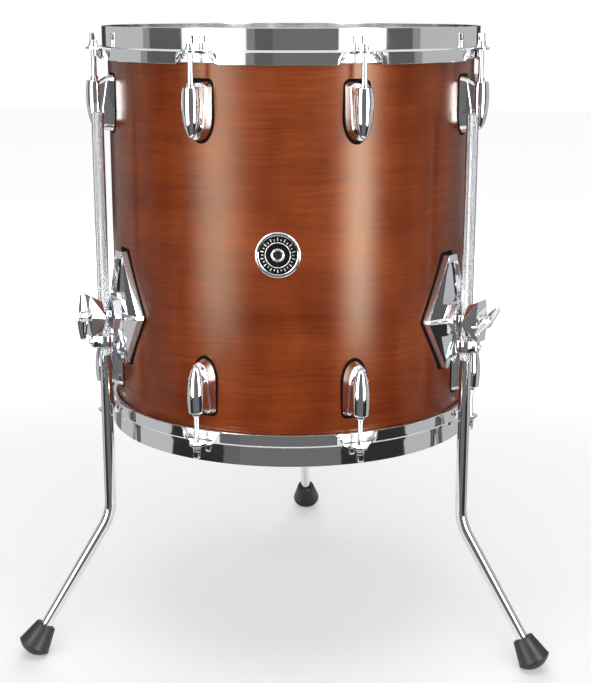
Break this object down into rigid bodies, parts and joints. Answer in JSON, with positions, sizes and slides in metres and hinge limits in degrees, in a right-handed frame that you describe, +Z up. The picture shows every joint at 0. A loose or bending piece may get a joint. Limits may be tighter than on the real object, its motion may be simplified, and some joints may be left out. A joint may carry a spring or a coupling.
{
  "type": "floor tom",
  "caption": "Floor tom drum with a stained wood shell, flanged hoops with ears, bullet lugs, tension rods and bent rod legs in diamond clamp brackets.",
  "frame": {"origin": "on the floor, under the middle of the object's box", "axes": "+Z up; the badge on the shell faces -Y and the rear leg stands at +Y; +X is to the right as seen from the front"},
  "size_m": [0.5866, 0.555, 0.6853],
  "materials": {
    "stained_wood": "satin lacquer over a red-brown stain",
    "chrome": "polished chrome plate",
    "leg_steel": "chrome plate, knurled above the clamp",
    "black_enamel": "black enamel with a polished rim",
    "coated_film": "white coated polyester film",
    "clear_film": "clear polyester film",
    "foot_rubber": "matte black rubber"
  },
  "bodies": {
    "drum": {"shell": "stained_wood", "badge": "black_enamel", "vent_grommet": "chrome", "batter_head": "coated_film", "resonant_head": "clear_film", "top_hoop": "chrome", "bottom_hoop": "chrome", "top_lug_1": "chrome", "top_lug_2": "chrome", "top_lug_3": "chrome", "top_lug_4": "chrome", "top_lug_5": "chrome", "top_lug_6": "chrome", "top_lug_7": "chrome", "top_lug_8": "chrome", "bottom_lug_1": "chrome", "bottom_lug_2": "chrome", "bottom_lug_3": "chrome", "bottom_lug_4": "chrome", "bottom_lug_5": "chrome", "bottom_lug_6": "chrome", "bottom_lug_7": "chrome", "bottom_lug_8": "chrome", "bracket_left": "chrome", "clamp_jaw_left": "chrome", "eye_bolt_left": "chrome", "bracket_right": "chrome", "clamp_jaw_right": "chrome", "eye_bolt_right": "chrome", "bracket_rear": "chrome", "clamp_jaw_rear": "chrome", "eye_bolt_rear": "chrome"},
    "top_rod_1_body": {"top_rod_1": "chrome"},
    "top_rod_2_body": {"top_rod_2": "chrome"},
    "top_rod_3_body": {"top_rod_3": "chrome"},
    "top_rod_4_body": {"top_rod_4": "chrome"},
    "top_rod_5_body": {"top_rod_5": "chrome"},
    "top_rod_6_body": {"top_rod_6": "chrome"},
    "top_rod_7_body": {"top_rod_7": "chrome"},
    "top_rod_8_body": {"top_rod_8": "chrome"},
    "bottom_rod_1_body": {"bottom_rod_1": "chrome"},
    "bottom_rod_2_body": {"bottom_rod_2": "chrome"},
    "bottom_rod_3_body": {"bottom_rod_3": "chrome"},
    "bottom_rod_4_body": {"bottom_rod_4": "chrome"},
    "bottom_rod_5_body": {"bottom_rod_5": "chrome"},
    "bottom_rod_6_body": {"bottom_rod_6": "chrome"},
    "bottom_rod_7_body": {"bottom_rod_7": "chrome"},
    "bottom_rod_8_body": {"bottom_rod_8": "chrome"},
    "leg_left_body": {"leg_left": "leg_steel", "foot_left": "foot_rubber", "lock_collar_left": "chrome"},
    "leg_right_body": {"leg_right": "leg_steel", "foot_right": "foot_rubber", "lock_collar_right": "chrome"},
    "leg_rear_body": {"leg_rear": "leg_steel", "foot_rear": "foot_rubber", "lock_collar_rear": "chrome"},
    "wing_nut_left_body": {"wing_nut_left": "chrome"},
    "wing_nut_right_body": {"wing_nut_right": "chrome"},
    "wing_nut_rear_body": {"wing_nut_rear": "chrome"}
  },
  "joints": [
    {"name": "top_rod_1_turn", "type": "hinge", "parent": "drum", "child": "top_rod_1_body", "pos_m": [0.08496, -0.26806, 0.666], "axis": [0, 0, 1], "continuous": true},
    {"name": "top_rod_2_turn", "type": "hinge", "parent": "drum", "child": "top_rod_2_body", "pos_m": [0.2051, -0.14791, 0.666], "axis": [0, 0, 1], "continuous": true},
    {"name": "top_rod_3_turn", "type": "hinge", "parent": "drum", "child": "top_rod_3_body", "pos_m": [0.2051, 0.022, 0.666], "axis": [0, 0, 1], "continuous": true},
    {"name": "top_rod_4_turn", "type": "hinge", "parent": "drum", "child": "top_rod_4_body", "pos_m": [0.08496, 0.14215, 0.666], "axis": [0, 0, 1], "continuous": true},
    {"name": "top_rod_5_turn", "type": "hinge", "parent": "drum", "child": "top_rod_5_body", "pos_m": [-0.08496, 0.14215, 0.666], "axis": [0, 0, 1], "continuous": true},
    {"name": "top_rod_6_turn", "type": "hinge", "parent": "drum", "child": "top_rod_6_body", "pos_m": [-0.2051, 0.022, 0.666], "axis": [0, 0, 1], "continuous": true},
    {"name": "top_rod_7_turn", "type": "hinge", "parent": "drum", "child": "top_rod_7_body", "pos_m": [-0.2051, -0.14791, 0.666], "axis": [0, 0, 1], "continuous": true},
    {"name": "top_rod_8_turn", "type": "hinge", "parent": "drum", "child": "top_rod_8_body", "pos_m": [-0.08496, -0.26806, 0.666], "axis": [0, 0, 1], "continuous": true},
    {"name": "bottom_rod_1_turn", "type": "hinge", "parent": "drum", "child": "bottom_rod_1_body", "pos_m": [0.08496, 0.14215, 0.2596], "axis": [0, 0, 1], "continuous": true},
    {"name": "bottom_rod_2_turn", "type": "hinge", "parent": "drum", "child": "bottom_rod_2_body", "pos_m": [0.2051, 0.022, 0.2596], "axis": [0, 0, 1], "continuous": true},
    {"name": "bottom_rod_3_turn", "type": "hinge", "parent": "drum", "child": "bottom_rod_3_body", "pos_m": [0.2051, -0.14791, 0.2596], "axis": [0, 0, 1], "continuous": true},
    {"name": "bottom_rod_4_turn", "type": "hinge", "parent": "drum", "child": "bottom_rod_4_body", "pos_m": [0.08496, -0.26806, 0.2596], "axis": [0, 0, 1], "continuous": true},
    {"name": "bottom_rod_5_turn", "type": "hinge", "parent": "drum", "child": "bottom_rod_5_body", "pos_m": [-0.08496, -0.26806, 0.2596], "axis": [0, 0, 1], "continuous": true},
    {"name": "bottom_rod_6_turn", "type": "hinge", "parent": "drum", "child": "bottom_rod_6_body", "pos_m": [-0.2051, -0.14791, 0.2596], "axis": [0, 0, 1], "continuous": true},
    {"name": "bottom_rod_7_turn", "type": "hinge", "parent": "drum", "child": "bottom_rod_7_body", "pos_m": [-0.2051, 0.022, 0.2596], "axis": [0, 0, 1], "continuous": true},
    {"name": "bottom_rod_8_turn", "type": "hinge", "parent": "drum", "child": "bottom_rod_8_body", "pos_m": [-0.08496, 0.14215, 0.2596], "axis": [0, 0, 1], "continuous": true},
    {"name": "leg_left_slide", "type": "slide", "parent": "drum", "child": "leg_left_body", "axis": [0, 0, 1], "range_m": [-0.15, 0]},
    {"name": "leg_right_slide", "type": "slide", "parent": "drum", "child": "leg_right_body", "axis": [0, 0, 1], "range_m": [-0.15, 0]},
    {"name": "leg_rear_slide", "type": "slide", "parent": "drum", "child": "leg_rear_body", "axis": [0, 0, 1], "range_m": [-0.15, 0]},
    {"name": "wing_nut_left_turn", "type": "hinge", "parent": "drum", "child": "wing_nut_left_body", "pos_m": [-0.21657, -0.19567, 0.381], "axis": [-0.8526, -0.5225, 0], "continuous": true},
    {"name": "wing_nut_right_turn", "type": "hinge", "parent": "drum", "child": "wing_nut_right_body", "pos_m": [0.21657, -0.19567, 0.381], "axis": [0.8526, -0.5225, 0], "continuous": true},
    {"name": "wing_nut_rear_turn", "type": "hinge", "parent": "drum", "child": "wing_nut_rear_body", "pos_m": [0, 0.19104, 0.381], "axis": [0, 1, 0], "continuous": true}
  ]
}
